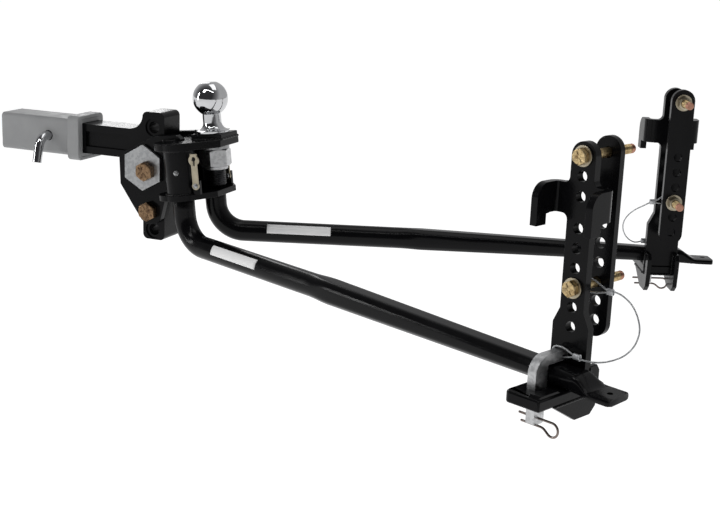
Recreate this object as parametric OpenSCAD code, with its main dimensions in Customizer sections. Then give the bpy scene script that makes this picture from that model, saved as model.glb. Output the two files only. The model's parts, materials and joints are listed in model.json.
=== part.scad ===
// Weight distribution hitch: receiver stub, drop shank, tilted ball head,
// two sprung bars and two frame brackets. Millimetres, real size.
// +X runs from the tow vehicle to the trailer, +Y to the far side, +Z up.
// The origin is the centre of the hitch ball.

/* [Head] */
// Diameter of the hitch ball
ball_diameter = 58.7; // [56:0.1:60]
// Rearward lean of the head from upright, degrees
head_tilt = 6; // [4:0.5:8]
// Half the distance between the two bar sockets
socket_half_spacing = 54; // [53:0.5:56]
// Outside radius of a bar socket
socket_radius = 26; // [24:0.5:26]
// Radius of the bar journal that turns in the socket
journal_radius = 14; // [12:0.5:15]
// Running gap around the journal
journal_gap = 0.08; // [0.03:0.01:0.1]
// Half the width across the flats of the hexagonal cam plates
cam_half_flats = 34; // [32:0.5:35]

/* [Shank] */
// Width and height of the square shank
shank_size = 50.8; // [50:0.1:51]
// Depth of the upright bar of the shank, front to back
upright_depth = 42; // [40:0.5:43]
// Distance between neighbouring holes in the upright bar
upright_hole_pitch = 35; // [34:0.5:35.5]

/* [Receiver] */
// Outside width of the receiver tube
receiver_size = 63.5; // [63:0.1:65]
// Length of receiver tube that is kept
receiver_length = 163; // [140:1:180]
// Diameter of the hitch pin
pin_diameter = 15.88; // [14:0.02:16]

/* [Spring bars] */
// Sideways angle of each bar from straight back, degrees
bar_yaw = 23.2; // [20:0.1:24]
// Diameter of the round part of each bar
bar_diameter = 36.5; // [34:0.5:37]
// Length of the straight part of each bar
bar_straight = 817; // [805:1:840]
// Bend radius of the bar centre line at the elbow
elbow_radius = 50; // [46:1:54]
// Distance from the journal to the bracket along the bar
bracket_reach = 767; // [745:1:770]

/* [Frame brackets] */
// Distance between neighbouring bracket holes
hole_pitch = 25.4; // [25:0.1:26]
// Diameter of the bracket holes
hole_diameter = 14.5; // [13.5:0.1:15]
// Thickness of the outer plate
outer_plate = 12; // [10:0.5:12.5]
// Thickness of the inner plate
inner_plate = 9.5; // [8:0.5:10]
// Distance from the outer face of one plate to the other plate
plate_gap = 51; // [49:0.5:53]
// Diameter of the frame bolts
frame_bolt = 12.7; // [12:0.1:12.7]
// Diameter of the wire rope of the lanyards
rope_diameter = 2.4; // [2:0.1:2.4]

/* [Hidden] */
$fn = 64;
e = 0.02;
// a bent rod is a hair thicker than its straight parts
bend_swell = 0.03;
ball_r = ball_diameter / 2;
// head frame: u runs forward, w runs up, both leaning with head_tilt
plate_top = -64.5;
plate_under = -77.2;
floor_top = -149.5;
floor_under = -159;
pad_top = -56;
socket_u = -36;
fitting_turn = 14;
clip_u = -2;
clip_w = -135;
cheek_in = shank_size / 2 + 0.4;
cheek_out = cheek_in + 12.6;
head_bolt_x = -94;
head_bolt_top = -124;
// receiver and shank
axis_z = -85;
mouth_x = -234;
pin_x = -300;
upright_x = head_bolt_x;
upright_top = -28;
upright_bottom = -246;
// spring bar, measured in the head frame
elbow_w = -187;
bar_drop = 6.35;
bar_lead = elbow_radius * (1 - sin(bar_drop));
bar_start_w = elbow_w - elbow_radius * cos(bar_drop);
bar_origin_w = bar_start_w + bar_lead * tan(bar_drop);
taper_from = 280;
taper_slope = 13 / 470;
paddle_width = 46;
bar_width = 37.5;
flat_half = bar_diameter / 2;
// direction of the near bar in the shared frame
bar_dir_u = cos(bar_drop) * cos(bar_yaw);
bar_dir_w = -sin(bar_drop);
bar_dir = [
    bar_dir_u * cos(head_tilt) - bar_dir_w * sin(head_tilt),
    -cos(bar_drop) * sin(bar_yaw),
    bar_dir_u * sin(head_tilt) + bar_dir_w * cos(head_tilt)
];
bar_from = [
    socket_u * cos(head_tilt) - bar_origin_w * sin(head_tilt),
    -socket_half_spacing,
    socket_u * sin(head_tilt) + bar_origin_w * cos(head_tilt)
];
yaw = atan2(-bar_dir[1], bar_dir[0]);
bar_side = 20;
bracket_at = bar_from + bracket_reach * bar_dir;
// height of the top bracket hole above the bar centre line
bracket_rise = 268.9;
shelf_top = -289;
shelf_under = -304.5;
retainer_x = -6;
retainer_t = 13;
tab_bottom = -336;
tab_hole = -328;
hairpin_r = 1.6;
lower_holes = [for (k = [0:5]) -91 - k * hole_pitch];
upper_holes = [for (k = [0:2]) -k * hole_pitch];
bolt_rows = [0, -91 - 3 * hole_pitch];
rope_r = rope_diameter / 2;
lower_z = bolt_rows[1];

// lanyard route in the bracket frame, round the lower bolt, out and back
// to the eye of the retainer
near_route = [
    [39, 30, -171], [35, 30, -171], [31, 30, -171], [22, 30, -173],
    [11, 30, -175.6], [0, 30, -175.8], [-6.2, 30, -173.4],
    [-8.8, 30, -167.2], [-6.2, 30, -161], [0, 30, -158.5],
    [11, 30, -160], [22, 30, -164.8], [30, 30, -167.9], [35, 30, -168],
    [41, 30, -168], [54, 29, -170], [69, 27, -177], [81, 24, -189],
    [88, 21, -205], [87, 16, -222], [79, 10, -236], [67, 4, -245],
    [53, -2, -250.6], [39, -7, -252.6], [27, -10, -252.2],
    [22, -10, -252], [16, -10, -252], [8, -10, -254],
    [1, -10, -255.4], [-6, -10, -255.4], [-13, -10, -255.2],
    [-17, -10, -251.5], [-15, -10, -246], [-9, -10, -243.6],
    [-1, -10, -243.6], [7, -10, -246], [15, -10, -248.9],
    [20, -10, -249], [25, -10, -249]
];
far_route = [
    [-32, 30, -171.5], [-28, 30, -171.5], [-24, 30, -171.3],
    [-16, 30, -166.5], [-9, 30, -160.4], [0, 30, -158.3],
    [6.2, 30, -161], [8.8, 30, -167.2], [6.2, 30, -173.4],
    [0, 30, -176], [-9, 30, -176], [-17, 30, -175],
    [-24, 30, -174.5], [-28, 30, -174.5], [-33, 30, -175],
    [-42, 29.5, -180], [-54, 28, -187], [-64, 25, -196],
    [-71, 22, -208], [-72, 18, -221], [-67, 13, -234],
    [-58, 6, -244.5], [-48, 0, -250.5], [-40, -6, -252.4],
    [-33, -10, -252], [-28, -10, -252], [-22, -10, -252.2],
    [-17, -10, -254], [-12, -10, -255.4], [-6, -10, -255.4],
    [1, -10, -255.2], [5, -10, -251.5], [3, -10, -246],
    [-3, -10, -243.6], [-10, -10, -243.6], [-16, -10, -246.2],
    [-22, -10, -248.8], [-26, -10, -249], [-31, -10, -249]
];

black = [0.06, 0.06, 0.065];
grey = [0.55, 0.56, 0.57];
zinc = [0.72, 0.73, 0.74];
gold = [0.78, 0.66, 0.38];
chrome = [0.85, 0.86, 0.88];

// ---- helpers ----

// a cylinder lying along Y between two Y values
module rod_y(r, y0, y1) {
    translate([0, y1, 0])
        rotate([90, 0, 0])
            cylinder(r = r, h = y1 - y0);
}

// a cylinder lying along X between two X values
module rod_x(r, x0, x1) {
    translate([x0, 0, 0])
        rotate([0, 90, 0])
            cylinder(r = r, h = x1 - x0);
}

// a flat shape drawn in X and Z, given a thickness along Y
module slab_y(y0, y1) {
    translate([0, y1, 0])
        rotate([90, 0, 0])
            linear_extrude(y1 - y0)
                children();
}

// a flat shape drawn in Y and Z, given a thickness along X
module slab_x(x0, x1) {
    translate([x0, 0, 0])
        rotate([90, 0, 90])
            linear_extrude(x1 - x0)
                children();
}

module block(x0, x1, y0, y1, z0, z1) {
    translate([x0, y0, z0])
        cube([x1 - x0, y1 - y0, z1 - z0]);
}

module rounded_square(size, r) {
    union() {
        square([size, size - 2 * r], center = true);
        square([size - 2 * r, size], center = true);
        for (x = [-1, 1])
            for (y = [-1, 1])
                translate([x * (size / 2 - r), y * (size / 2 - r)])
                    circle(r = r);
    }
}

// everything in the head leans with it
module in_head() {
    rotate([0, -head_tilt, 0])
        children();
}

module hexagon(half_flats) {
    rotate(30)
        circle(r = half_flats / cos(30), $fn = 6);
}

// ---- receiver ----

module receiver_tube() {
    color(grey)
        difference() {
            translate([0, 0, axis_z])
                slab_x(mouth_x - receiver_length, mouth_x)
                    difference() {
                        rounded_square(receiver_size, 7);
                        rounded_square(shank_size + 0.9, 1);
                    }
            translate([pin_x, 0, axis_z])
                rod_y(pin_diameter / 2 + 0.9, -50, 50);
        }
}

module receiver_collar() {
    color(grey)
        translate([0, 0, axis_z])
            slab_x(mouth_x - 23, mouth_x)
                difference() {
                    rounded_square(76.2, 9);
                    rounded_square(receiver_size, 7);
                }
}

module hitch_pin() {
    turn = 76;
    bend = 22;
    color(chrome)
        translate([pin_x, 0, axis_z])
            difference() {
                union() {
                    rod_y(pin_diameter / 2, -38.5, 46);
                    translate([0, -38, -bend])
                        rotate([90, 0, 90]) {
                            rotate([0, 0, 90])
                                rotate_extrude(angle = turn)
                                    translate([bend, 0])
                                        circle(r = pin_diameter / 2 + bend_swell);
                            rotate([0, 0, 90 + turn])
                                translate([bend, -0.5, 0])
                                    rotate([-90, 0, 0])
                                        cylinder(d = pin_diameter, h = 27.5);
                        }
                }
                translate([0, 40, 0])
                    cylinder(r = 2, h = 30, center = true);
            }
}

// ---- shank ----

module shank_outline() {
    half = shank_size / 2;
    left = upright_x - upright_depth / 2 + 0.5;
    right = left + upright_depth;
    difference() {
        union() {
            translate([mouth_x - 122, axis_z - half])
                square([left - mouth_x + 130, shank_size]);
            translate([left, upright_bottom + 9])
                square([right - left, upright_top - upright_bottom - 18]);
            translate([left + 9, upright_bottom])
                square([right - left - 18, upright_top - upright_bottom]);
            for (x = [left + 9, right - 9])
                for (z = [upright_bottom + 9, upright_top - 9])
                    translate([x, z])
                        circle(r = 9);
            translate([left - 26, axis_z + half - e])
                square([27, 26]);
            translate([left - 20, axis_z - half - 20])
                square([21, 20 + e]);
        }
        translate([left - 26, axis_z + half + 26])
            circle(r = 26);
        translate([left - 20, axis_z - half - 20])
            circle(r = 20);
    }
}

module shank() {
    half = shank_size / 2;
    color(black)
        difference() {
            slab_y(-half, half)
                shank_outline();
            for (s = [-1, 1])
                translate([-186, s * (half + 1), axis_z])
                    cube([84, 12, 26], center = true);
            for (k = [0:5])
                translate([upright_x, 0, -54 - k * upright_hole_pitch])
                    rod_y(9.9, -40, 40);
            for (k = [0, 5])
                for (s = [-1, 1])
                    translate([upright_x, 0, -54 - k * upright_hole_pitch])
                        rod_y(15, s * half - 3, s * half + 3);
            translate([pin_x, 0, axis_z])
                rod_y(pin_diameter / 2 + 0.08, -50, 50);
        }
}

// ---- head weldment ----

// one plate across the head, between two heights, with a round lobe at each
// socket. side is where the front edge meets the lobe
module head_plate(front, side, low, high) {
    t = high - low;
    difference() {
        union() {
            translate([0, 0, low])
                linear_extrude(t)
                    polygon([
                        [front, -32], [side[0], -side[1]], [-36, -60], [-62, -60],
                        [-77, -50], [-77, 50], [-62, 60], [-36, 60],
                        [side[0], side[1]], [front, 32]
                    ]);
            for (s = [-1, 1]) {
                translate([socket_u, s * socket_half_spacing, low])
                    cylinder(r = 31, h = t);
                translate([socket_u - 14, s * socket_half_spacing, low])
                    cylinder(r = 28, h = t);
            }
        }
        for (s = [-1, 1])
            translate([-100, s * (cheek_in + cheek_out) / 2 - (cheek_out - cheek_in) / 2, low - 1])
                cube([60, cheek_out - cheek_in, t + 2]);
    }
}

module head_top_plate() {
    color(black)
        in_head()
            difference() {
                head_plate(29.5, [-14.2, 75.5], plate_under, plate_top);
                translate([0, 0, plate_under - 1])
                    cylinder(r = 16.4, h = 20);
            }
}

module head_floor_plate() {
    color(black)
        in_head()
            difference() {
                head_plate(17, [-10.8, 71.4], floor_under, floor_top);
                for (s = [-1, 1])
                    translate([socket_u, s * socket_half_spacing, floor_under - 1])
                        cylinder(r = journal_radius + journal_gap, h = 20);
            }
}

module cheek_outline() {
    polygon([
        [-163, -90], [-166, -136], [-145, -174], [-131, -198],
        [-122, -205], [-104, -205], [-94, -198], [-80, -160],
        [-40, floor_top - 8], [-40, plate_top + 2], [-48, -56],
        [-90, -56], [-156, -82]
    ]);
}

module head_cheeks() {
    color(black)
        in_head()
            for (s = [-1, 1])
                difference() {
                    slab_y(
                        s * (cheek_in + cheek_out) / 2 - (cheek_out - cheek_in) / 2,
                        s * (cheek_in + cheek_out) / 2 + (cheek_out - cheek_in) / 2
                    )
                        cheek_outline();
                    rotate([0, head_tilt, 0])
                        for (k = [0, 2])
                            translate([
                                head_bolt_x, 0,
                                head_bolt_top - k * upright_hole_pitch
                            ])
                                rod_y(9.9, -60, 60);
                }
}

module socket(s) {
    color(black)
        in_head()
            translate([socket_u, s * socket_half_spacing, 0])
                difference() {
                    translate([0, 0, floor_top])
                        cylinder(r = socket_radius, h = plate_under - floor_top);
                    translate([0, 0, floor_top - 1])
                        cylinder(r = journal_radius + journal_gap, h = 80);
                    translate([0, 0, -112])
                        rotate([0, 0, 90 - fitting_turn])
                            rod_x(3, journal_radius, socket_radius + 2);
                    block(-60, 60, -60, cheek_out - socket_half_spacing, -200, 0);
                }
}

module socket_near() {
    mirror([0, 1, 0])
        socket(1);
}

module socket_far() {
    socket(1);
}

module clip_lugs() {
    color(black)
        in_head()
            for (s = [-1, 1])
                difference() {
                    block(
                        clip_u - 6, clip_u + 6,
                        s * socket_half_spacing - 12, s * socket_half_spacing - 6,
                        floor_top, clip_w + 8
                    );
                    translate([clip_u, 0, clip_w])
                        rod_y(2.9, -80, 80);
                }
}

module cam_plates() {
    color(grey)
        for (s = [-1, 1])
            difference() {
                translate([head_bolt_x - 9, 0, -120])
                    slab_y(s * (cheek_out + 4) - 4, s * (cheek_out + 4) + 4)
                        hexagon(cam_half_flats);
                translate([head_bolt_x, 0, head_bolt_top])
                    rod_y(9.9, -80, 80);
            }
}

// a hexagon bolt along Y, its head on the side of lower Y
module hex_bolt(r, flats, head_h, from, to) {
    rod_y(r, from, to);
    slab_y(from - head_h, from)
        hexagon(flats / 2);
}

module head_bolts() {
    color(gold) {
        translate([head_bolt_x, 0, head_bolt_top])
            hex_bolt(9.5, 28.6, 12, -cheek_out - 8, cheek_out + 8 + 24);
        translate([head_bolt_x, 0, head_bolt_top - 2 * upright_hole_pitch]) {
            hex_bolt(9.5, 28.6, 12, -cheek_out, cheek_out + 24);
        }
    }
}

module head_nuts() {
    color(gold)
        for (v = [
            [head_bolt_top, cheek_out + 8],
            [head_bolt_top - 2 * upright_hole_pitch, cheek_out]
        ])
            translate([head_bolt_x, 0, v[0]])
                difference() {
                    slab_y(v[1], v[1] + 16)
                        hexagon(14.3);
                    rod_y(9.56, 0, 90);
                }
}

// ---- ball ----

module ball_pad() {
    color(black)
        in_head()
            difference() {
                translate([-26, -29, plate_top])
                    cube([56, 58, pad_top - plate_top]);
                translate([0, 0, plate_top - 1])
                    cylinder(r = 16.4, h = 20);
            }
}

module pad_pin() {
    color(black)
        in_head()
            translate([-18, -26, pad_top])
                cylinder(r = 1.8, h = 8);
}

module ball_outline() {
    neck_r = 15.5;
    difference() {
        union() {
            intersection() {
                circle(r = ball_r);
                translate([0, -40])
                    square([40, 67]);
            }
            translate([0, pad_top])
                square([27, 4]);
            translate([0, pad_top + 4 - e])
                square([27, 24]);
            translate([0, pad_top - 88])
                square([15.8, 89]);
        }
        translate([neck_r + 13, pad_top + 4 + 13])
            circle(r = 13);
        translate([neck_r, pad_top + 17])
            square([20, 12]);
    }
}

module hitch_ball() {
    color(chrome)
        in_head()
            rotate_extrude()
                intersection() {
                    ball_outline();
                    translate([0, -150])
                        square([60, 200]);
                }
}

module ball_washer() {
    color(zinc)
        in_head()
            translate([0, 0, plate_under - 6])
                difference() {
                    cylinder(r = 25, h = 6);
                    translate([0, 0, -1])
                        cylinder(r = 16.4, h = 8);
                }
}

module ball_nut() {
    color(zinc)
        in_head()
            difference() {
                union() {
                    translate([0, 0, plate_under - 35])
                        linear_extrude(29)
                            rotate(12)
                                hexagon(23.8);
                    translate([0, 0, plate_under - 40])
                        cylinder(r = 20, h = 5 + e);
                }
                translate([0, 0, plate_under - 41])
                    cylinder(r = 15.86, h = 40);
            }
}

// ---- small parts on the head ----

module grease_fittings() {
    color(zinc)
        in_head()
            for (s = [-1, 1])
                translate([socket_u, s * socket_half_spacing, -112])
                    rotate([0, 0, 90 * s - fitting_turn * s])
                        translate([socket_radius - 5, 0, 0])
                            rotate([0, 90, 0]) {
                        cylinder(r = 3, h = 6);
                        translate([0, 0, 5.2])
                            cylinder(r = 4.6, h = 3, $fn = 6);
                        translate([0, 0, 8])
                            cylinder(r = 2.2, h = 3);
                        translate([0, 0, 11.5])
                            sphere(r = 2.6);
                    }
}

module clip_rivets() {
    color(zinc)
        in_head()
            for (s = [-1, 1])
                translate([clip_u, s * socket_half_spacing, clip_w]) {
                    rod_y(2.9, -17, -4);
                    rod_y(4.4, -17.5, -15.7);
                }
}

// flat bottle shape with a keyhole, one rivet hole at the foot
module clip_outline() {
    difference() {
        union() {
            circle(r = 6.6);
            translate([-5.4, 0])
                square([10.8, 40]);
            translate([0, 42])
                circle(r = 9.4);
            translate([-6, 46])
                square([12, 6.5]);
        }
        circle(r = 2.98);
        translate([0, 44])
            circle(r = 3.6);
        translate([-1.8, 33])
            square([3.6, 12]);
    }
}

module bar_clip(s) {
    color(gold)
        in_head()
            translate([clip_u, s * socket_half_spacing - 14, clip_w])
                slab_y(-1.3, 1.3)
                    clip_outline();
}

module bar_clip_near() {
    bar_clip(-1);
}

module bar_clip_far() {
    bar_clip(1);
}

// ---- spring bar ----

// side view of the flattened, tapering end
module bar_side_outline() {
    polygon([
        [taper_from - 6, -flat_half],
        [bar_straight, -flat_half],
        [bar_straight, -flat_half + 9],
        [bar_straight - 30, -flat_half + 9],
        [bar_straight - 60, flat_half - (bar_straight - 60 - taper_from) * taper_slope],
        [taper_from, flat_half],
        [taper_from - 6, flat_half]
    ]);
}

module bar_top_outline() {
    end = bar_straight;
    union() {
        polygon([
            [taper_from - 6, -bar_width / 2], [end - 50, -bar_width / 2],
            [end - 28, -paddle_width / 2], [end - 5, -paddle_width / 2],
            [end - 5, paddle_width / 2], [end - 28, paddle_width / 2],
            [end - 50, bar_width / 2], [taper_from - 6, bar_width / 2]
        ]);
        translate([end - 20, -paddle_width / 2 + 5])
            square([20, paddle_width - 10]);
        for (s = [-1, 1])
            translate([end - 5, s * (paddle_width / 2 - 5)])
                circle(r = 5);
    }
}

// long wedges that take the corners off the flattened part
module bar_corner_cut() {
    slope = atan(taper_slope);
    cut = 11;
    for (s = [-1, 1]) {
        translate([taper_from, s * bar_width / 2, flat_half])
            rotate([0, slope, 0])
                rotate([45, 0, 0])
                    translate([-30, -cut / 2, -cut / 2])
                        cube([bar_straight - taper_from - 30, cut, cut]);
        translate([taper_from, s * bar_width / 2, -flat_half])
            rotate([45, 0, 0])
                translate([-30, -cut / 2, -cut / 2])
                    cube([bar_straight - taper_from - 30, cut, cut]);
    }
}

module bar_flat() {
    difference() {
        intersection() {
            slab_y(-30, 30)
                bar_side_outline();
            translate([0, 0, -40])
                linear_extrude(80)
                    bar_top_outline();
        }
        bar_corner_cut();
        translate([bar_straight - 14, 0, -40])
            cylinder(r = 4, h = 80);
    }
}

module spring_bar() {
    rod_r = bar_diameter / 2 - bend_swell;
    translate([0, 0, elbow_w - 1])
        cylinder(r = rod_r, h = floor_under - elbow_w);
    translate([0, 0, floor_under - 2])
        cylinder(r = journal_radius, h = plate_under - 1.5 - floor_under + 2);
    translate([elbow_radius, 0, elbow_w])
        rotate([90, 0, 0])
            rotate([0, 0, 180])
                rotate_extrude(angle = 90 - bar_drop)
                    translate([elbow_radius, 0])
                        circle(d = bar_diameter);
    translate([bar_lead, 0, bar_start_w])
        rotate([0, bar_drop, 0]) {
            rod_x(rod_r, -1, taper_from);
            bar_flat();
        }
}

module spring_bar_near() {
    color(black)
        in_head()
            translate([socket_u, -socket_half_spacing, 0])
                rotate([0, 0, -bar_yaw])
                    spring_bar();
}

module spring_bar_far() {
    mirror([0, 1, 0])
        spring_bar_near();
}

// ---- frame bracket: x along the bar, y towards the middle, z up ----

module in_bracket() {
    translate([bracket_at[0], bracket_at[1], bracket_at[2] + bracket_rise])
        rotate([0, 0, -yaw])
            translate([0, bar_side, 0])
                children();
}

module holes(rows, r, y0, y1) {
    for (z = rows)
        translate([0, 0, z])
            rod_y(r, y0, y1);
}

module outer_outline() {
    root = 31;
    difference() {
        union() {
            circle(r = 18);
            translate([-18, -204])
                square([36, 204]);
            polygon([
                [-18, -196], [-27.5, -216], [-27.5, shelf_top],
                [27.5, shelf_top], [27.5, -216], [18, -196]
            ]);
            translate([-root, -75])
                square([2 * root, 39]);
            translate([-26, -83])
                square([52, 55]);
        }
        for (s = [-1, 1])
            for (z = [-28, -83])
                translate([s * 26, z])
                    circle(r = 8);
    }
}

// plan of one arm, running along x and turning outward
module arm_plan() {
    translate([28, 0])
        square([4, 10]);
    translate([32, -4])
        difference() {
            circle(r = 14);
            circle(r = 4);
            translate([-20, -20])
                square([20, 40]);
            translate([-20, -20])
                square([40, 20]);
        }
    translate([36, -38])
        square([10, 34 + e]);
}

// side view of one arm with the hooked end
module arm_side() {
    difference() {
        union() {
            translate([-38, -75])
                square([50, 39]);
            translate([-38, -90])
                square([19.5, 16]);
        }
        translate([-39, -56])
            square([21, 21]);
    }
    translate([-18, -56])
        circle(r = 20);
}

module outer_plate_body() {
    color(black)
        difference() {
            union() {
                slab_y(0, outer_plate)
                    outer_outline();
                for (s = [0, 1])
                    mirror([s, 0, 0])
                        intersection() {
                            translate([0, 0, -100])
                                linear_extrude(90)
                                    arm_plan();
                            slab_x(0, 60)
                                arm_side();
                        }
            }
            holes(upper_holes, hole_diameter / 2, -20, 40);
            holes(lower_holes, hole_diameter / 2, -20, 40);
        }
}

module inner_plate_body() {
    color(black)
        difference() {
            slab_y(plate_gap, plate_gap + inner_plate)
                union() {
                    translate([0, 2])
                        circle(r = 19);
                    translate([-19, -221])
                        square([38, 223]);
                    translate([0, -221])
                        circle(r = 19);
                }
            holes([0], hole_diameter / 2, 30, 80);
            holes(lower_holes, hole_diameter / 2, 30, 80);
        }
}

module shelf_body() {
    color(black)
        difference() {
            translate([0, 0, shelf_under])
                linear_extrude(shelf_top - shelf_under)
                    union() {
                        translate([-27.5, -82])
                            square([55, 82 + outer_plate]);
                        translate([-19.5, -90])
                            square([47, 9]);
                        translate([-19.5, -82])
                            circle(r = 8);
                    }
            block(
                retainer_x - retainer_t / 2 - 0.3,
                retainer_x + retainer_t / 2 + 0.3,
                -62.3, -41.7, -310, -280
            );
        }
}

module shelf_strip_body() {
    color(black)
        slab_x(9, 25)
            polygon([
                [-88, shelf_top], [-84, shelf_top + 4],
                [-50, shelf_top + 4], [-44, shelf_top]
            ]);
}

module gusset_outline() {
    polygon([
        [-60, shelf_under], [-13, -332], [19, -332], [30, -322],
        [33, -290], [33, -274], [27, -266], [outer_plate, -266],
        [outer_plate, shelf_under]
    ]);
}

module gussets_body() {
    color(black)
        for (x = [-27.5, 20])
            slab_x(x, x + 7.5)
                gusset_outline();
}

// quarter ring over the bar with a tab that passes through the shelf
module retainer_outline() {
    difference() {
        union() {
            translate([-64, shelf_top])
                square([24, -270 - shelf_top]);
            intersection() {
                translate([-41, -270])
                    circle(r = 23);
                translate([-64, -270 - e])
                    square([24, 24]);
            }
            translate([-40 - e, -260.4])
                square([40 + e, 13.4]);
            translate([-62, -332])
                square([20, 44]);
            translate([-58, tab_bottom])
                square([12, 10]);
            for (y = [-58, -46])
                translate([y, -332])
                    circle(r = 4);
        }
        translate([-10, -255.4])
            circle(r = 2.4);
        translate([-52, tab_hole])
            circle(r = hairpin_r + 0.08);
    }
}

module retainer_body() {
    color(grey)
        slab_x(retainer_x - retainer_t / 2, retainer_x + retainer_t / 2)
            retainer_outline();
}

module frame_bolts_body() {
    color(gold)
        for (z = bolt_rows)
            translate([0, 0, z])
                hex_bolt(frame_bolt / 2, 19, 8, -2.6, 104);
}

module frame_washers_body() {
    color(gold)
        for (z = bolt_rows)
            for (y = [-2.6, plate_gap + inner_plate])
                translate([0, 0, z])
                    difference() {
                        rod_y(13.5, y, y + 2.6);
                        rod_y(6.8, y - 1, y + 4);
                    }
}

module frame_nuts_body() {
    color(gold)
        for (z = bolt_rows)
            translate([0, 0, z])
                difference() {
                    slab_y(
                        plate_gap + inner_plate + 2.6,
                        plate_gap + inner_plate + 13.6
                    )
                        hexagon(9.5);
                    rod_y(frame_bolt / 2 + 0.04, 40, 90);
                }
}

// bent wire: one straight leg in the tab, a loop, one leg under the tab
module hairpin_body() {
    turn = 215;
    loop_r = 9.3;
    loop_x = 22;
    under = -10.2;
    knee_x = 7.07;
    color(zinc)
        translate([retainer_x + 6, -52, tab_hole]) {
            rod_x(hairpin_r, -30, loop_x + 0.3);
            translate([loop_x, 0, -loop_r])
                rotate([90, 0, 0]) {
                    rotate([0, 0, 90 - turn])
                        rotate_extrude(angle = turn)
                            translate([loop_r, 0])
                                circle(r = hairpin_r + bend_swell);
                    rotate([0, 0, 90 - turn])
                        translate([loop_r, 0.3, 0])
                            rotate([90, 0, 0])
                                cylinder(r = hairpin_r, h = 12);
                }
            translate([knee_x, 0, under])
                sphere(r = hairpin_r + bend_swell);
            translate([0, 0, under])
                rod_x(hairpin_r, -26, knee_x);
        }
}

// crimp sleeve with room for two strands, running along x
module ferrule(y, z_mid, x0, x1) {
    difference() {
        slab_x(x0, x1)
            translate([y, z_mid])
                union() {
                    square([6, 3], center = true);
                    for (s = [-1.5, 1.5])
                        translate([0, s])
                            circle(r = 3);
                }
        slab_x(x0 - 1, x1 + 1)
            translate([y, z_mid])
                union() {
                    square([3, 3], center = true);
                    for (s = [-1.5, 1.5])
                        translate([0, s])
                            circle(r = 1.5);
                }
    }
}

module ferrules_body(side) {
    color(zinc) {
        if (side < 0) {
            ferrule(30, -169.5, 31, 40);
            ferrule(-10, -250.5, 16, 26);
        } else {
            ferrule(30, -173, -33, -24);
            ferrule(-10, -250.5, -32, -22);
        }
    }
}

// tube of rings along a smooth line through the route points
function pick(v, i) = v[max(0, min(len(v) - 1, i))];
function smooth(v, i, t) =
    0.5 * (
        2 * pick(v, i)
        + t * (pick(v, i + 1) - pick(v, i - 1))
        + t * t * (2 * pick(v, i - 1) - 5 * pick(v, i)
            + 4 * pick(v, i + 1) - pick(v, i + 2))
        + t * t * t * (3 * pick(v, i) - pick(v, i - 1)
            - 3 * pick(v, i + 1) + pick(v, i + 2))
    );
function fine(v) = [
    for (i = [0:len(v) - 2])
        for (t = [0, 0.5])
            smooth(v, i, t),
    v[len(v) - 1]
];
function unit(v) = v / norm(v);
function heading(v, i) = unit(pick(v, i + 1) - pick(v, i - 1));
function across(v, i) = unit(cross(heading(v, i), [0, 1, 0]));

module rope(route) {
    sides = 8;
    v = fine(route);
    rings = len(v);
    points = [
        for (i = [0:rings - 1])
            let (a = across(v, i), b = cross(heading(v, i), a))
                for (k = [0:sides - 1])
                    v[i] + rope_r * (cos(45 * k) * a + sin(45 * k) * b)
    ];
    walls = [
        for (i = [0:rings - 2])
            for (k = [0:sides - 1])
                [
                    i * sides + k,
                    (i + 1) * sides + k,
                    (i + 1) * sides + (k + 1) % sides,
                    i * sides + (k + 1) % sides
                ]
    ];
    ends = [
        [for (k = [0:sides - 1]) k],
        [for (k = [sides - 1:-1:0]) (rings - 1) * sides + k]
    ];
    polyhedron(points = points, faces = concat(walls, ends), convexity = 8);
}

module lanyard_near() {
    color(zinc)
        in_bracket()
            rope(near_route);
}

module lanyard_far() {
    color(zinc)
        mirror([0, 1, 0])
            in_bracket()
                rope(far_route);
}

module outer_plate_near() {
    in_bracket()
        outer_plate_body();
}

module inner_plate_near() {
    in_bracket()
        inner_plate_body();
}

module shelf_near() {
    in_bracket()
        shelf_body();
}

module shelf_strip_near() {
    in_bracket()
        shelf_strip_body();
}

module gussets_near() {
    in_bracket()
        gussets_body();
}

module retainer_near() {
    in_bracket()
        retainer_body();
}

module frame_bolts_near() {
    in_bracket()
        frame_bolts_body();
}

module frame_washers_near() {
    in_bracket()
        frame_washers_body();
}

module frame_nuts_near() {
    in_bracket()
        frame_nuts_body();
}

module hairpin_near() {
    in_bracket()
        hairpin_body();
}

module ferrules_near() {
    in_bracket()
        ferrules_body(-1);
}

module outer_plate_far() {
    mirror([0, 1, 0])
        outer_plate_near();
}

module inner_plate_far() {
    mirror([0, 1, 0])
        inner_plate_near();
}

module shelf_far() {
    mirror([0, 1, 0])
        shelf_near();
}

module shelf_strip_far() {
    mirror([0, 1, 0])
        shelf_strip_near();
}

module gussets_far() {
    mirror([0, 1, 0])
        gussets_near();
}

module retainer_far() {
    mirror([0, 1, 0])
        retainer_near();
}

module frame_bolts_far() {
    mirror([0, 1, 0])
        frame_bolts_near();
}

module frame_washers_far() {
    mirror([0, 1, 0])
        frame_washers_near();
}

module frame_nuts_far() {
    mirror([0, 1, 0])
        frame_nuts_near();
}

module hairpin_far() {
    mirror([0, 1, 0])
        hairpin_near();
}

module ferrules_far() {
    mirror([0, 1, 0])
        in_bracket()
            ferrules_body(1);
}

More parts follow.
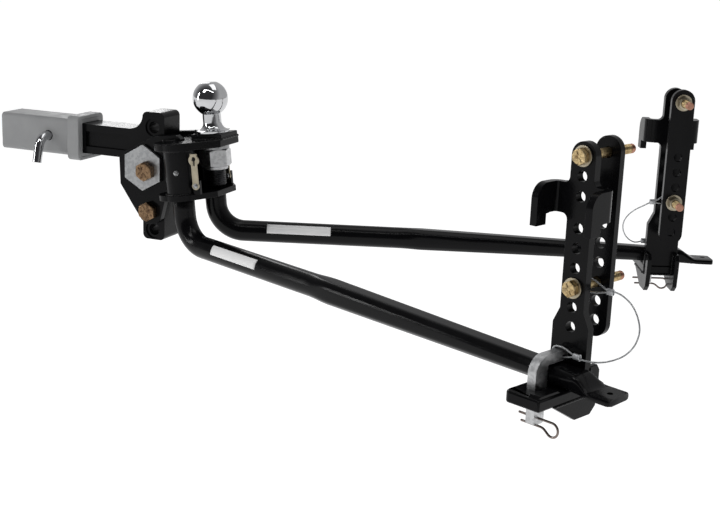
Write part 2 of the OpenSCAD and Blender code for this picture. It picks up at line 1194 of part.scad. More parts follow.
receiver_tube();
receiver_collar();
hitch_pin();
shank();
head_top_plate();
head_floor_plate();
head_cheeks();
socket_near();
socket_far();
clip_lugs();
cam_plates();
head_bolts();
head_nuts();
ball_pad();
pad_pin();
hitch_ball();
ball_washer();
ball_nut();
grease_fittings();
clip_rivets();
bar_clip_near();
bar_clip_far();
spring_bar_near();
spring_bar_far();
outer_plate_near();
inner_plate_near();
shelf_near();
shelf_strip_near();
gussets_near();
retainer_near();
frame_bolts_near();
frame_washers_near();
frame_nuts_near();
hairpin_near();
lanyard_near();
ferrules_near();
outer_plate_far();
inner_plate_far();
shelf_far();
shelf_strip_far();
gussets_far();
retainer_far();
frame_bolts_far();
frame_washers_far();
frame_nuts_far();
hairpin_far();
lanyard_far();
ferrules_far();
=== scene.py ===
import json
import math

import bmesh
import bpy
import numpy as np
from mathutils import Matrix, Vector


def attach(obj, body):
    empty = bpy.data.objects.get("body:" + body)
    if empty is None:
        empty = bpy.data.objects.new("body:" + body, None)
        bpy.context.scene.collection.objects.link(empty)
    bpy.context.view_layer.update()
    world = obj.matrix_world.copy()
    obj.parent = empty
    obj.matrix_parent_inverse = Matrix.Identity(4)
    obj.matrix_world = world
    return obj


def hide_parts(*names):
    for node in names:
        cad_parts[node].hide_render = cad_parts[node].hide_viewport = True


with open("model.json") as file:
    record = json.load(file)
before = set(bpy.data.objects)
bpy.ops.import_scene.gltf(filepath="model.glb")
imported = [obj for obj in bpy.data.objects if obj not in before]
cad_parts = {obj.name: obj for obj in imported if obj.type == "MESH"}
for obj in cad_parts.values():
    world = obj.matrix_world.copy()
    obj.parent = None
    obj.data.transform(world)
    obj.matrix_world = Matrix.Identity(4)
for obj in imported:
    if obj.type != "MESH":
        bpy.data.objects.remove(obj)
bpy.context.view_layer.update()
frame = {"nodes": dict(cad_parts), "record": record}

MM = 0.001
rad = math.radians
scene = bpy.context.scene


# ---- camera ----

CAMERA_AT = (1.0383, -1.8826, 0.2847)
AZIMUTH, ELEVATION, ROLL = rad(22.006), rad(14.464), rad(2.141)
FOCAL_LENGTH = 64.677


def add_camera():
    back = Vector((
        math.sin(AZIMUTH) * math.cos(ELEVATION),
        -math.cos(AZIMUTH) * math.cos(ELEVATION),
        math.sin(ELEVATION),
    ))
    side = (-back).cross(Vector((0, 0, 1))).normalized()
    up = side.cross(-back)
    right = math.cos(ROLL) * side + math.sin(ROLL) * up
    top = -math.sin(ROLL) * side + math.cos(ROLL) * up
    data = bpy.data.cameras.new("camera")
    data.lens = FOCAL_LENGTH
    data.sensor_width = 36.0
    data.clip_end = 200.0
    camera = bpy.data.objects.new("camera", data)
    scene.collection.objects.link(camera)
    camera.matrix_world = Matrix((
        (right.x, top.x, back.x, CAMERA_AT[0]),
        (right.y, top.y, back.y, CAMERA_AT[1]),
        (right.z, top.z, back.z, CAMERA_AT[2]),
        (0, 0, 0, 1),
    ))
    scene.camera = camera


add_camera()
scene.view_settings.view_transform = "Standard"


# ---- frames of the design, in millimetres ----

HEAD = Matrix.Rotation(rad(-6.0), 4, "Y")
SOCKET_U, SOCKET_Y = -36.0, 54.0
PLATE_TOP, PLATE_UNDER = -64.5, -77.2
FLOOR_TOP, FLOOR_UNDER = -149.5, -159.0
BAR_YAW, BAR_DROP = rad(23.2), rad(6.35)
ELBOW_R, ELBOW_W = 50.0, -187.0
BAR_LEAD = ELBOW_R * (1 - math.sin(BAR_DROP))
BAR_START_W = ELBOW_W - ELBOW_R * math.cos(BAR_DROP)
BAR_END = 817.0
BRACKET_REACH, BRACKET_RISE, BRACKET_SIDE = 767.0, 268.9, 20.0
MIRROR = Matrix.Diagonal((1, -1, 1, 1))
SIDES = {"near": -1, "far": 1}

bar_turn = (
    HEAD
    @ Matrix.Translation((SOCKET_U, -SOCKET_Y, 0))
    @ Matrix.Rotation(-BAR_YAW, 4, "Z")
)
straight_turn = (
    bar_turn
    @ Matrix.Translation((BAR_LEAD, 0, BAR_START_W))
    @ Matrix.Rotation(BAR_DROP, 4, "Y")
)
bar_dir = (straight_turn.to_3x3() @ Vector((1, 0, 0))).normalized()
bar_from = HEAD @ Vector((SOCKET_U, -SOCKET_Y, BAR_START_W + BAR_LEAD * math.tan(BAR_DROP)))
bracket_at = bar_from + BRACKET_REACH * bar_dir
bracket_turn = (
    Matrix.Translation((bracket_at.x, bracket_at.y, bracket_at.z + BRACKET_RISE))
    @ Matrix.Rotation(math.atan2(bar_dir.y, bar_dir.x), 4, "Z")
    @ Matrix.Translation((0, BRACKET_SIDE, 0))
)


def sided(matrix, side):
    """The near side's frame, or its mirror image for the far side."""
    return matrix if side == "near" else MIRROR @ matrix


ALONG_Y = Matrix.Rotation(rad(-90), 4, "X")
ALONG_X = Matrix.Rotation(rad(90), 4, "Y")


# ---- materials ----

def surface(
    name, colors, metallic=0.0, rough=(0.3, 0.4), gloss=0.5, glow=0.0,
    patch=40.0, grain=900.0, depth=0.00004, detail=4.0, stretch=(1, 1, 1), spangle=0.0,
):
    """Colour patches, uneven roughness and fine relief, all from noise in the part's own frame."""
    material = bpy.data.materials.new(name)
    material.use_nodes = True
    tree = material.node_tree
    shader = tree.nodes["Principled BSDF"]
    shader.inputs["Metallic"].default_value = metallic
    shader.inputs["Specular IOR Level"].default_value = gloss
    if glow:
        shader.inputs["Emission Color"].default_value = (1, 1, 1, 1)
        shader.inputs["Emission Strength"].default_value = glow
    place = tree.nodes.new("ShaderNodeTexCoord")
    mapping = tree.nodes.new("ShaderNodeMapping")
    mapping.inputs["Scale"].default_value = stretch
    tree.links.new(place.outputs["Object"], mapping.inputs["Vector"])

    def noise(scale, octaves):
        node = tree.nodes.new("ShaderNodeTexNoise")
        node.inputs["Scale"].default_value = scale
        node.inputs["Detail"].default_value = octaves
        tree.links.new(mapping.outputs["Vector"], node.inputs["Vector"])
        return node.outputs[0]

    ramp = tree.nodes.new("ShaderNodeValToRGB")
    while len(ramp.color_ramp.elements) < len(colors):
        ramp.color_ramp.elements.new(0.5)
    for i, color in enumerate(colors):
        step = ramp.color_ramp.elements[i]
        step.position = 0.3 + 0.4 * i / max(1, len(colors) - 1)
        step.color = (*color, 1)
    if spangle:
        cells = tree.nodes.new("ShaderNodeTexVoronoi")
        cells.inputs["Scale"].default_value = spangle
        tree.links.new(mapping.outputs["Vector"], cells.inputs["Vector"])
        split = tree.nodes.new("ShaderNodeSeparateColor")
        tree.links.new(cells.outputs["Color"], split.inputs[0])
        tree.links.new(split.outputs[0], ramp.inputs[0])
    else:
        tree.links.new(noise(patch, detail), ramp.inputs[0])
    tree.links.new(ramp.outputs[0], shader.inputs["Base Color"])
    spread = tree.nodes.new("ShaderNodeMapRange")
    spread.inputs["From Min"].default_value = 0.35
    spread.inputs["From Max"].default_value = 0.65
    spread.inputs["To Min"].default_value = rough[0]
    spread.inputs["To Max"].default_value = rough[1]
    tree.links.new(noise(patch * 2.7, 5.0), spread.inputs["Value"])
    tree.links.new(spread.outputs["Result"], shader.inputs["Roughness"])
    if depth:
        bump = tree.nodes.new("ShaderNodeBump")
        bump.inputs["Strength"].default_value = 1.0
        bump.inputs["Distance"].default_value = depth
        tree.links.new(noise(grain, 2.0), bump.inputs["Height"])
        tree.links.new(bump.outputs["Normal"], shader.inputs["Normal"])
    return material


MAT = {
    "black_paint": surface(
        "black_powder_coat", [(0.0025, 0.0025, 0.003), (0.0045, 0.0045, 0.005)],
        rough=(0.15, 0.24), gloss=0.1, patch=14, grain=420, depth=0.00009,
    ),
    "bar_paint": surface(
        "black_bar_coat", [(0.002, 0.002, 0.0025), (0.004, 0.004, 0.0045)],
        rough=(0.16, 0.24), gloss=0.13, patch=10, grain=380, depth=0.00006,
        stretch=(0.6, 1, 1),
    ),
    "grey_primer": surface(
        "grey_primer", [(0.255, 0.259, 0.263), (0.295, 0.298, 0.301)],
        rough=(0.45, 0.58), gloss=0.3, patch=22, grain=700, depth=0.00005,
    ),
    "chrome": surface(
        "chrome_plate", [(0.50, 0.505, 0.515), (0.58, 0.585, 0.595)],
        metallic=1.0, rough=(0.05, 0.09), patch=30, grain=240, depth=0.00001,
    ),
    "yellow_zinc": surface(
        "yellow_zinc", [(0.17, 0.10, 0.045), (0.55, 0.42, 0.22), (0.33, 0.25, 0.14)],
        metallic=1.0, rough=(0.28, 0.4), patch=120, grain=1600, depth=0.00003,
    ),
    "bronze_zinc": surface(
        "bronze_zinc", [(0.035, 0.018, 0.012), (0.24, 0.155, 0.09), (0.075, 0.045, 0.028)],
        metallic=1.0, rough=(0.26, 0.38), patch=130, grain=1600, depth=0.00003,
    ),
    "pale_zinc": surface(
        "pale_zinc", [(0.32, 0.285, 0.21), (0.43, 0.385, 0.295)],
        metallic=1.0, rough=(0.3, 0.42), patch=90, grain=1500, depth=0.00003,
    ),
    "grey_zinc": surface(
        "grey_zinc", [(0.29, 0.295, 0.30), (0.36, 0.365, 0.37)],
        metallic=1.0, rough=(0.34, 0.46), grain=1300, depth=0.00003, patch=60, spangle=260,
    ),
    "bright_zinc": surface(
        "bright_zinc", [(0.42, 0.425, 0.43), (0.52, 0.525, 0.53)],
        metallic=1.0, rough=(0.3, 0.42), grain=1300, depth=0.00003, patch=60, spangle=260,
    ),
    "spring_wire": surface(
        "brown_spring_wire", [(0.15, 0.12, 0.11), (0.26, 0.22, 0.20)],
        metallic=1.0, rough=(0.28, 0.4), patch=150, grain=1800, depth=0.00002,
    ),
    "wire_rope": surface(
        "galvanised_wire", [(0.42, 0.43, 0.44), (0.56, 0.57, 0.58)],
        metallic=1.0, rough=(0.34, 0.46), patch=200, grain=2500, depth=0.00001,
    ),
    "copper_tip": surface(
        "copper_toned_thread", [(0.32, 0.16, 0.11), (0.46, 0.25, 0.18)],
        metallic=1.0, rough=(0.3, 0.42), patch=160, grain=1800, depth=0.00002,
    ),
    # The ball stud's thread is plated steel. It is coloured near black here as painted shade for
    # the shadow it sits in under the head.
    "shade_darkened_thread": surface(
        "shade_darkened_thread", [(0.03, 0.03, 0.032), (0.055, 0.055, 0.058)],
        metallic=1.0, rough=(0.3, 0.44), patch=120, grain=1500, depth=0.00003,
    ),
    "weld": surface(
        "painted_weld", [(0.003, 0.003, 0.0035), (0.005, 0.005, 0.0055)],
        rough=(0.22, 0.34), gloss=0.16, patch=60, grain=900, depth=0.00008,
    ),
    "primer_weld": surface(
        "primed_weld", [(0.235, 0.238, 0.241), (0.275, 0.278, 0.281)],
        rough=(0.45, 0.58), gloss=0.3, patch=60, grain=900, depth=0.00008,
    ),
    "white_vinyl": surface(
        "white_vinyl", [(0.86, 0.86, 0.86), (0.90, 0.90, 0.90)],
        rough=(0.3, 0.4), patch=60, grain=1200, depth=0.00002,
    ),
}


# ---- mesh helpers ----

def piece(
    name, verts, faces, body, material, turn=None, scale=MM, extra=(), which=None,
    smooth=35,
):
    """A new object from points in a local frame in millimetres, riding on a body."""
    turn = turn or Matrix.Identity(4)
    matrix = np.array(turn)
    co = np.asarray(verts, float)
    co = (co @ matrix[:3, :3].T + matrix[:3, 3]) * scale
    if turn.determinant() < 0:
        faces = [tuple(reversed(f)) for f in faces]
    mesh = bpy.data.meshes.new(name)
    mesh.from_pydata([tuple(p) for p in co], [], [tuple(int(i) for i in f) for f in faces])
    mesh.materials.append(MAT[material])
    for m in extra:
        mesh.materials.append(MAT[m])
    if which is not None:
        mesh.polygons.foreach_set("material_index", [int(i) for i in which])
    mesh.shade_smooth()
    mesh.set_sharp_from_angle(angle=rad(smooth))
    obj = bpy.data.objects.new(name, mesh)
    scene.collection.objects.link(obj)
    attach(obj, body)
    return obj


BODY_OF = {
    node: body
    for body, nodes in frame["record"]["behaviour"]["bodies"].items()
    for node in nodes
}
NODE_SLOT = {s["node"]: s["material_slot"] for s in frame["record"]["subparts"]}


def eased(node, width, segments=2, look=None):
    """A copy of a CAD node with its sharp edges rounded, shown in its place."""
    source = frame["nodes"][node]
    bm = bmesh.new()
    bm.from_mesh(source.data)
    bmesh.ops.remove_doubles(bm, verts=bm.verts, dist=2e-6)
    bmesh.ops.dissolve_limit(bm, angle_limit=rad(0.5), verts=bm.verts, edges=bm.edges)
    bm.verts.ensure_lookup_table()
    verts = [tuple(v.co) for v in bm.verts]
    faces = [[v.index for v in f.verts] for f in bm.faces]
    bm.free()
    slot = NODE_SLOT[node]
    obj = piece(node + "_eased", verts, faces, BODY_OF[node], look or slot, scale=1.0)
    bevel = obj.modifiers.new("ease", "BEVEL")
    bevel.width = width * MM
    bevel.segments = segments
    bevel.limit_method = "ANGLE"
    bevel.angle_limit = rad(34)
    bevel.use_clamp_overlap = True
    even = obj.modifiers.new("even", "WEIGHTED_NORMAL")
    even.keep_sharp = True
    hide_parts(node)
    return obj


def join(parts):
    """Several (verts, faces, material index) lists as one."""
    verts, faces, which = [], [], []
    for v, f, w in parts:
        base = len(verts)
        verts.extend([tuple(p) for p in v])
        faces.extend([[i + base for i in q] for q in f])
        which.extend([w] * len(f))
    return verts, faces, which


def moved(part, turn):
    """The same (verts, faces, material index), carried into another frame."""
    verts, faces, which = part
    matrix = np.array(turn)
    co = np.asarray(verts, float) @ matrix[:3, :3].T + matrix[:3, 3]
    return co, faces, which


def lathe(profile, sides=72, which=0):
    """Radius and height pairs turned round z. A radius of 0 closes the end."""
    verts, rows = [], []
    for r, z in profile:
        if r < 1e-6:
            rows.append([len(verts)])
            verts.append((0, 0, z))
        else:
            rows.append(list(range(len(verts), len(verts) + sides)))
            verts += [
                (r * math.cos(2 * math.pi * k / sides), r * math.sin(2 * math.pi * k / sides), z)
                for k in range(sides)
            ]
    faces = []
    for a, b in zip(rows, rows[1:]):
        for k in range(sides):
            n = (k + 1) % sides
            if len(a) == 1 and len(b) > 1:
                faces.append([a[0], b[n], b[k]])
            elif len(b) == 1 and len(a) > 1:
                faces.append([a[k], a[n], b[0]])
            elif len(a) > 1:
                faces.append([a[k], a[n], b[n], b[k]])
    return verts, faces, which


def thread(radius, z0, z1, pitch, depth, which=0, sides=40, chamfer=1.2):
    """A screw thread along z with a chamfered far end. Both ends are closed."""
    rows = max(8, int((z1 - z0) / pitch * 6))
    verts, faces = [(0, 0, z0)], []
    for j in range(rows + 1):
        z = z0 + (z1 - z0) * j / rows
        for k in range(sides):
            phase = (z / pitch - k / sides) % 1.0
            r = radius - depth * abs(2 * phase - 1)
            r = min(r, radius - max(0.0, z - (z1 - chamfer)))
            a = 2 * math.pi * k / sides
            verts.append((r * math.cos(a), r * math.sin(a), z))
    verts.append((0, 0, z1))
    for k in range(sides):
        n = (k + 1) % sides
        faces.append([0, 1 + n, 1 + k])
        last = 1 + rows * sides
        faces.append([last + k, last + n, len(verts) - 1])
        for j in range(rows):
            a, b = 1 + j * sides, 1 + (j + 1) * sides
            faces.append([a + k, a + n, b + n, b + k])
    return verts, faces, which


def hex_radius(angle, half_flats):
    """Distance from the centre to the side of a hexagon with a corner at 90 degrees."""
    a = (angle - math.pi / 2) % (math.pi / 3)
    return half_flats / math.cos(a - math.pi / 6)


def hex_body(flats, height, hole=0.0, top=True, bottom=False, which=0, turn=0.0, washer=0.8):
    """A bolt head or nut along z with chamfered corners, closed all round."""
    sides = 96
    half = flats / 2
    dish, lip, cone_slope = 0.35, 0.9, 0.55
    angles = [2 * math.pi * k / sides for k in range(sides)]

    def circle(r, z):
        return [(r * math.cos(a), r * math.sin(a), z) for a in angles]

    def ring(limit, z, cone):
        out = []
        for a in angles:
            r = min(hex_radius(a + turn, half), limit)
            drop = max(0.0, r - half * 0.96) * cone
            out.append((r * math.cos(a), r * math.sin(a), z - drop if z > height / 2 else z + drop))
        return out

    wide = half * 2
    rows = []
    if hole:
        rows.append(circle(hole, lip))
        rows.append(circle(hole + lip, 0))
    rows.append(ring(half * 0.95, 0, 0))
    if washer:
        rows.append(ring(half * 0.96, washer * 0.6, 0))
    rows.append(ring(wide, washer, cone_slope if bottom else 0.0))
    rows.append(ring(wide, height, cone_slope if top else 0.0))
    rows.append(ring(half * 0.94, height, 0))
    if hole:
        rows.append(circle(hole + lip, height))
        rows.append(circle(hole, height - lip))
        rows.append(rows[0])
    else:
        rows.append(ring(half * 0.7, height - dish, 0))
    verts = [p for r in rows[: len(rows) - (1 if hole else 0)] for p in r]
    faces = []
    count = len(rows)
    for j in range(count - 1):
        a = j * sides
        b = ((j + 1) % (count - 1) if hole else j + 1) * sides
        for k in range(sides):
            n = (k + 1) % sides
            faces.append([a + k, a + n, b + n, b + k])
    if not hole:
        verts += [(0, 0, 0), (0, 0, height - dish)]
        last = (count - 1) * sides
        for k in range(sides):
            n = (k + 1) % sides
            faces.append([len(verts) - 2, n, k])
            faces.append([last + k, last + n, len(verts) - 1])
    return verts, faces, which


def grade_marks(flats, z, which=0):
    """Six short raised lines between the corners of a bolt head."""
    half_line = flats * 0.13
    line = bead([(-half_line, 0, 0), (half_line, 0, 0)], 0.75, ripple=0, step=0.6)
    parts = [
        moved(line, Matrix.Rotation(rad(60 * k), 4, "Z") @ Matrix.Translation((flats * 0.26, 0, z)))
        for k in range(6)
    ]
    v, f, _ = join(parts)
    return v, f, which


def spline(points, step):
    """Points a fixed distance apart on a smooth line through the given ones."""
    p = np.asarray(points, float)
    fine = []
    for i in range(len(p) - 1):
        a, b, c, d = p[max(i - 1, 0)], p[i], p[i + 1], p[min(i + 2, len(p) - 1)]
        for t in np.linspace(0, 1, 12, endpoint=False):
            fine.append(0.5 * (2 * b + t * (c - a) + t * t * (2 * a - 5 * b + 4 * c - d)
                               + t ** 3 * (3 * b - a - 3 * c + d)))
    fine.append(p[-1])
    return resample(np.array(fine), step)


def resample(line, step):
    """The same line with its points an even distance apart, close to step."""
    gap = np.linalg.norm(np.diff(line, axis=0), axis=1)
    along = np.concatenate([[0], np.cumsum(gap)])
    count = max(2, int(round(along[-1] / step)) + 1)
    want = np.linspace(0, along[-1], count)
    return np.stack([np.interp(want, along, line[:, i]) for i in range(3)], 1)


def frames(line):
    """Tangent and two normals at each point, with no sudden turn."""
    t = np.gradient(line, axis=0)
    t /= np.linalg.norm(t, axis=1)[:, None]
    start = np.array([0, 0, 1.0]) if abs(t[0][2]) < 0.9 else np.array([0, 1.0, 0])
    n = [np.cross(t[0], start)]
    n[0] /= np.linalg.norm(n[0])
    for i in range(1, len(t)):
        v = n[-1] - t[i] * np.dot(n[-1], t[i])
        n.append(v / np.linalg.norm(v))
    n = np.array(n)
    return t, n, np.cross(t, n)


def tube(line, radii, sides=12, which=0, round_ends=True):
    """A round tube along a line with closed ends."""
    line = np.asarray(line, float)
    radii = np.broadcast_to(np.asarray(radii, float), (len(line),)).copy()
    t, n, b = frames(line)
    if round_ends:
        steps = (rad(20), rad(45), rad(75))
        first, last = radii[0], radii[-1]
        head = [(line[0] - t[0] * first * math.sin(q), first * math.cos(q)) for q in steps[::-1]]
        tail = [(line[-1] + t[-1] * last * math.sin(q), last * math.cos(q)) for q in steps]
        line = np.array([p for p, _ in head] + list(line) + [p for p, _ in tail])
        radii = np.array([r for _, r in head] + list(radii) + [r for _, r in tail])
        n = np.concatenate([[n[0]] * 3, n, [n[-1]] * 3])
        b = np.concatenate([[b[0]] * 3, b, [b[-1]] * 3])
    angles = np.arange(sides) * 2 * math.pi / sides
    cos, sin = np.cos(angles)[None, :, None], np.sin(angles)[None, :, None]
    ring = cos * n[:, None, :] + sin * b[:, None, :]
    verts = (line[:, None, :] + radii[:, None, None] * ring).reshape(-1, 3)
    faces = []
    for j in range(len(line) - 1):
        for k in range(sides):
            m = (k + 1) % sides
            faces.append([j * sides + k, j * sides + m, (j + 1) * sides + m, (j + 1) * sides + k])
    faces.append(list(range(sides))[::-1])
    faces.append([(len(line) - 1) * sides + k for k in range(sides)])
    return verts, faces, which


def bead(points, radius, ripple=0.16, step=0.8, which=0, pitch=3.2):
    """A weld bead along a line, in overlapping ripples."""
    line = resample(np.asarray(points, float), step)
    along = np.arange(len(line)) * step
    swell = 1 + ripple * (((along / pitch) % 1.0) - 0.5)
    swell = swell * (1 + 0.06 * np.sin(along * 0.7) * (1 if ripple else 0))
    return tube(line, radius * swell, sides=10, which=which)


def arc(cx, cy, r, a0, a1, z, count=40):
    """Points of a level arc, from a0 to a1 degrees."""
    return [
        (cx + r * math.cos(rad(a)), cy + r * math.sin(rad(a)), z)
        for a in np.linspace(a0, a1, count)
    ]


# ---- lanyards: free cords, so they come first ----

NEAR_ROUTE = [
    (39, 30, -171), (35, 30, -171), (31, 30, -171), (22, 30, -173),
    (11, 30, -175.6), (0, 30, -175.8), (-6.2, 30, -173.4),
    (-8.8, 30, -167.2), (-6.2, 30, -161), (0, 30, -158.5),
    (11, 30, -160), (22, 30, -164.8), (30, 30, -167.9), (35, 30, -168),
    (41, 30, -168), (54, 29, -170), (69, 27, -177), (81, 24, -189),
    (88, 21, -205), (87, 16, -222), (79, 10, -236), (67, 4, -245),
    (53, -2, -250.6), (39, -7, -252.6), (27, -10, -252.2),
    (22, -10, -252), (16, -10, -252), (8, -10, -254),
    (1, -10, -255.4), (-6, -10, -255.4), (-13, -10, -255.2),
    (-17, -10, -251.5), (-15, -10, -246), (-9, -10, -243.6),
    (-1, -10, -243.6), (7, -10, -246), (15, -10, -248.9),
    (20, -10, -249), (25, -10, -249)
]
FAR_ROUTE = [
    (-32, 30, -171.5), (-28, 30, -171.5), (-24, 30, -171.3),
    (-16, 30, -166.5), (-9, 30, -160.4), (0, 30, -158.3),
    (6.2, 30, -161), (8.8, 30, -167.2), (6.2, 30, -173.4),
    (0, 30, -176), (-9, 30, -176), (-17, 30, -175),
    (-24, 30, -174.5), (-28, 30, -174.5), (-33, 30, -175),
    (-42, 29.5, -180), (-54, 28, -187), (-64, 25, -196),
    (-71, 22, -208), (-72, 18, -221), (-67, 13, -234),
    (-58, 6, -244.5), (-48, 0, -250.5), (-40, -6, -252.4),
    (-33, -10, -252), (-28, -10, -252), (-22, -10, -252.2),
    (-17, -10, -254), (-12, -10, -255.4), (-6, -10, -255.4),
    (1, -10, -255.2), (5, -10, -251.5), (3, -10, -246),
    (-3, -10, -243.6), (-10, -10, -243.6), (-16, -10, -246.2),
    (-22, -10, -248.8), (-26, -10, -249), (-31, -10, -249)
]


def add_lanyard(side, route):
    """Six strands laid round a core, from the loop on the bolt to the loop in the eye."""
    rope_r, strand_r, lay, step = 1.2, 0.42, 11.0, 1.1
    line = spline(route, step)
    t, n, b = frames(line)
    along = np.arange(len(line)) * step
    parts = [tube(line, rope_r - strand_r * 0.9, sides=6, round_ends=False)]
    for k in range(6):
        phase = 2 * math.pi * (along / lay + k / 6)
        out = np.cos(phase)[:, None] * n + np.sin(phase)[:, None] * b
        centre = line + (rope_r - strand_r) * out
        parts.append(tube(centre, strand_r, sides=6, round_ends=False))
    verts, faces, _ = join(parts)
    turn = sided(bracket_turn, side)
    rope = piece(
        f"lanyard_rope_{side}", verts, faces, f"bracket_{side}", "wire_rope", turn, smooth=80,
    )
    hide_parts(f"lanyard_{side}")
    ferrules = eased(f"ferrules_{side}", 0.5)


add_lanyard("near", NEAR_ROUTE)
add_lanyard("far", FAR_ROUTE)


# ---- plates and blocks: the CAD shapes with their edges eased ----

EASE = {
    "receiver_tube": 1.0, "receiver_collar": 1.4, "shank": 1.2, "head_top_plate": 1.4,
    "head_floor_plate": 1.2, "head_cheeks": 1.0, "socket_near": 0.8, "socket_far": 0.8,
    "clip_lugs": 0.4, "cam_plates": 1.0, "ball_pad": 1.4, "ball_washer": 0.6,
    "bar_clip_near": 0.4, "bar_clip_far": 0.4, "hitch_pin": 1.5,
}
for side in SIDES:
    EASE.update({
        f"outer_plate_{side}": 1.2, f"inner_plate_{side}": 1.0, f"shelf_{side}": 2.4,
        f"shelf_strip_{side}": 0.5, f"gussets_{side}": 1.0, f"retainer_{side}": 1.1,
        f"frame_washers_{side}": 0.4,
    })
OTHER_LOOK = {"bar_clip": "pale_zinc", "frame_washers": "pale_zinc", "retainer": "bright_zinc"}
for node, width in EASE.items():
    eased(node, width, look=OTHER_LOOK.get(node.removesuffix("_near").removesuffix("_far")))


# ---- hitch ball, its nut and the small turned pieces ----

def add_ball():
    ball_r, neck_r, stud_r, pad_top, stud_end = 29.35, 15.5, 15.8, -56.0, -144.0
    plain_end = PLATE_UNDER - 6
    low = -math.acos(neck_r / ball_r)
    profile = [(0.0, 27.0), (9.0, 27.0), (11.0, 26.9)]
    start = math.asin(26.6 / ball_r)
    for a in np.linspace(start, low, 46):
        profile.append((ball_r * math.cos(a), ball_r * math.sin(a)))
    profile.append((neck_r, pad_top + 30))
    for a in np.linspace(0, 90, 16):
        profile.append((
            neck_r + 13 - 13 * math.cos(rad(a)), pad_top + 17 - 13 * math.sin(rad(a)),
        ))
    profile += [(26.2, pad_top + 4), (27.0, pad_top + 3.2), (27.0, pad_top + 0.6), (26.4, pad_top)]
    profile += [(stud_r, pad_top), (stud_r, plain_end), (0.0, plain_end)]
    body = lathe(profile[::-1], sides=128)
    # The thread takes the near-black painted-shade material rather than the plating's own colour.
    screw = thread(stud_r, -plain_end, -stud_end, 3.2, 1.5, which=1, sides=72, chamfer=2.2)
    screw = moved(screw, Matrix.Rotation(math.pi, 4, "X"))
    verts, faces, which = join([body, screw])
    obj = piece(
        "ball_and_stud", verts, faces, "hitch", "chrome", HEAD, extra=["shade_darkened_thread"],
        which=which, smooth=42,
    )
    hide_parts("hitch_ball")


def add_ball_nut():
    bore, collar_r = 15.95, 20.0
    nut = hex_body(47.6, 29.0, hole=bore, bottom=True, turn=rad(-12), washer=0.0)
    nut = moved(nut, Matrix.Translation((0, 0, PLATE_UNDER - 35)))
    collar = lathe([
        (bore, -40), (collar_r - 0.8, -40), (collar_r, -39.2), (collar_r, -34.6),
        (bore, -34.6), (bore, -40),
    ], sides=72)
    collar = moved(collar, Matrix.Translation((0, 0, PLATE_UNDER)))
    verts, faces, _ = join([nut, collar])
    obj = piece(
        "ball_lock_nut", verts, faces, "hitch", "bright_zinc", HEAD, smooth=32,
    )
    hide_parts("ball_nut")


def add_small_turned():
    parts = []
    for s in (-1, 1):
        turn = (
            Matrix.Translation((SOCKET_U, s * SOCKET_Y, -112))
            @ Matrix.Rotation(rad(90 * s - 14 * s), 4, "Z")
            @ Matrix.Translation((21, 0, 0)) @ ALONG_X
        )
        stem = lathe([
            (0, 0), (3, 0), (3, 5.0), (2.4, 5.2), (2.4, 8.2), (2.1, 8.4), (1.9, 9.6), (1.5, 10.0),
            (1.5, 10.4), (2.3, 11.0), (2.6, 11.9), (2.2, 13.0), (1.2, 13.9), (0.5, 14.0), (0, 13.7),
        ], sides=32)
        hexagon = hex_body(8.0, 3.0, washer=0.0, bottom=True)
        hexagon = moved(hexagon, Matrix.Translation((0, 0, 5.2)))
        parts += [moved(stem, turn), moved(hexagon, turn)]
    verts, faces, _ = join(parts)
    obj = piece("grease_nipples", verts, faces, "hitch", "grey_zinc", HEAD, smooth=40)
    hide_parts("grease_fittings")
    parts = []
    for s in (-1, 1):
        turn = Matrix.Translation((-2, s * SOCKET_Y - 17.5, -135)) @ ALONG_Y
        rivet = lathe([
            (0, 0), (1.6, 0.05), (3.2, 0.5), (4.1, 1.1), (4.4, 1.8), (2.9, 1.8),
            (2.9, 13.5), (0, 13.5),
        ], sides=40)
        parts.append(moved(rivet, turn))
    verts, faces, _ = join(parts)
    obj = piece("rivets", verts, faces, "hitch", "grey_zinc", HEAD, smooth=40)
    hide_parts("clip_rivets")
    turn = HEAD @ Matrix.Translation((-18, -26, -56))
    peg = lathe([(0, 0), (1.8, 0), (1.8, 7.0), (1.5, 7.7), (0.8, 8.0), (0, 8.0)], sides=32)
    obj = piece("stop_pin", peg[0], peg[1], "hitch", "black_paint", turn, smooth=40)
    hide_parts("pad_pin")


add_ball()
add_ball_nut()
add_small_turned()


# ---- bolts and nuts ----

def bolt(radius, flats, head_h, start, end, thread_from, pitch):
    """A hexagon bolt along z, its head below start, in two finishes."""
    head = hex_body(flats, head_h, top=True)
    marks = grade_marks(flats, head_h - 0.4)
    flip = Matrix.Translation((0, 0, start)) @ Matrix.Rotation(math.pi, 4, "X")
    shank = lathe([
        (0, start - 0.5), (radius, start - 0.5), (radius, thread_from), (0, thread_from),
    ], sides=48)
    screw = thread(radius, thread_from - 0.2, end - 8, pitch, pitch * 0.42, chamfer=0)
    tip = thread(radius - 0.02, end - 8.2, end, pitch, pitch * 0.42, which=1, chamfer=1.3)
    return join([moved(head, flip), moved(marks, flip), shank, screw]), tip


def merge(first, second):
    """Two parts as one. The first has a material index for each face, the second only one."""
    v1, f1, w1 = first
    v2, f2, w2 = second
    base = len(v1)
    verts = [tuple(p) for p in v1] + [tuple(p) for p in v2]
    faces = list(f1) + [[i + base for i in q] for q in f2]
    return verts, faces, list(w1) + [w2] * len(f2)


def add_bolts(name, nodes, rows, body, turn, sizes, metal="yellow_zinc"):
    """Bolts along y. sizes is the radius, the width across flats and the head's height."""
    verts, faces, which = [], [], []
    for place in rows:
        v, f, w = merge(*bolt(*sizes, *place["span"], place["thread"], place["pitch"]))
        matrix = np.array(Matrix.Translation(place["at"]) @ ALONG_Y)
        co = np.asarray(v, float) @ matrix[:3, :3].T + matrix[:3, 3]
        base = len(verts)
        verts += [tuple(p) for p in co]
        faces += [[i + base for i in q] for q in f]
        which += w
    obj = piece(
        name, verts, faces, body, metal, turn, extra=["copper_tip"], which=which, smooth=32,
    )
    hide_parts(*nodes)


